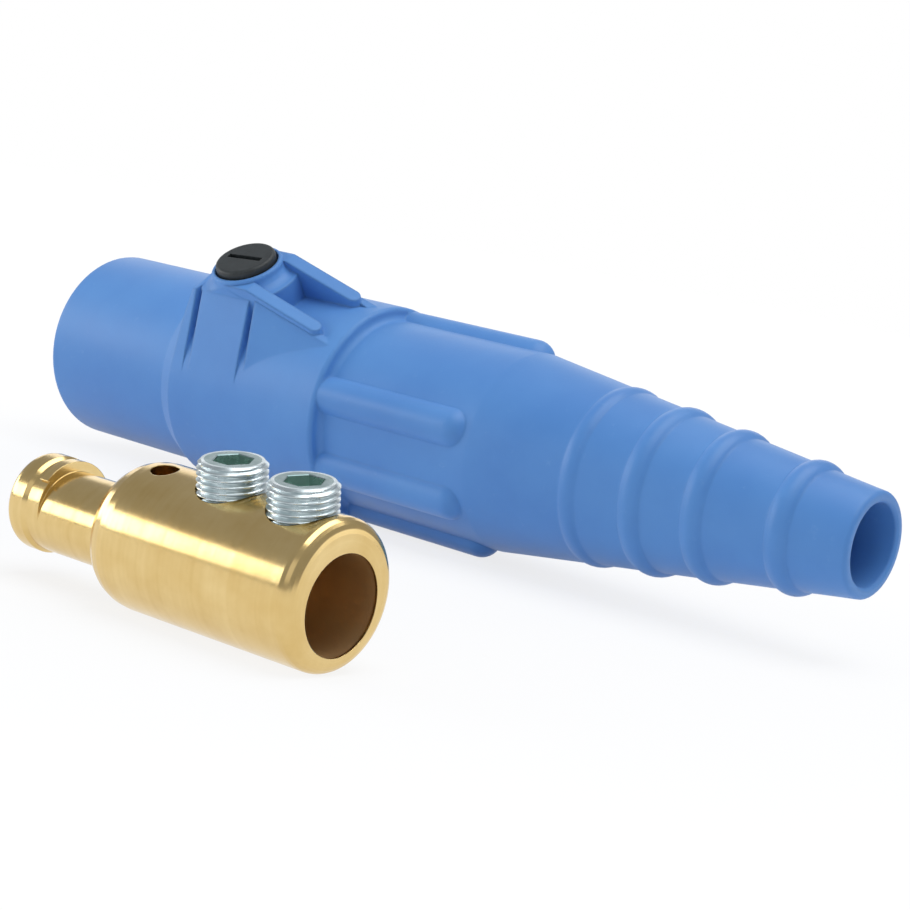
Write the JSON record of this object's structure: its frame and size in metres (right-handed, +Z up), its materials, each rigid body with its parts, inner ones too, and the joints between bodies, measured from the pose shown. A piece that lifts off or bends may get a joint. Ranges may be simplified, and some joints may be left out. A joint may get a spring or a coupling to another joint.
{
  "type": "cam-lock connector",
  "caption": "Male single-pole cam-lock connector taken apart: ribbed rubber sleeve with trim rings and retaining screw, brass pin contact with hexagon socket set screws.",
  "frame": {"origin": "centre of the sleeve's mating socket at its rim", "axes": "+X along the sleeve's axis towards the cable end, +Z up as both pieces lie, -Y towards the contact that lies beside the sleeve"},
  "size_m": [0.1945, 0.1516, 0.0516],
  "materials": {
    "sleeve": "soft satin moulding",
    "retaining_screw": "matte",
    "contact": "turned and polished",
    "set_screw": "zinc plated"
  },
  "bodies": {
    "connector": {"sleeve": "sleeve", "contact": "contact"},
    "retainer": {"retaining_screw": "retaining_screw"},
    "front_screw": {"set_screw_front": "set_screw"},
    "rear_screw": {"set_screw_rear": "set_screw"}
  },
  "joints": [
    {"name": "retaining_screw_out", "type": "slide", "parent": "connector", "child": "retainer", "axis": [0, -0.5736, 0.8192], "range_m": [0, 0.018]},
    {"name": "front_set_screw_travel", "type": "slide", "parent": "connector", "child": "front_screw", "axis": [0.0058, -0.2078, 0.9781], "range_m": [-0.0065, 0.004]},
    {"name": "rear_set_screw_travel", "type": "slide", "parent": "connector", "child": "rear_screw", "axis": [0.0058, -0.2078, 0.9781], "range_m": [-0.0065, 0.004]}
  ]
}
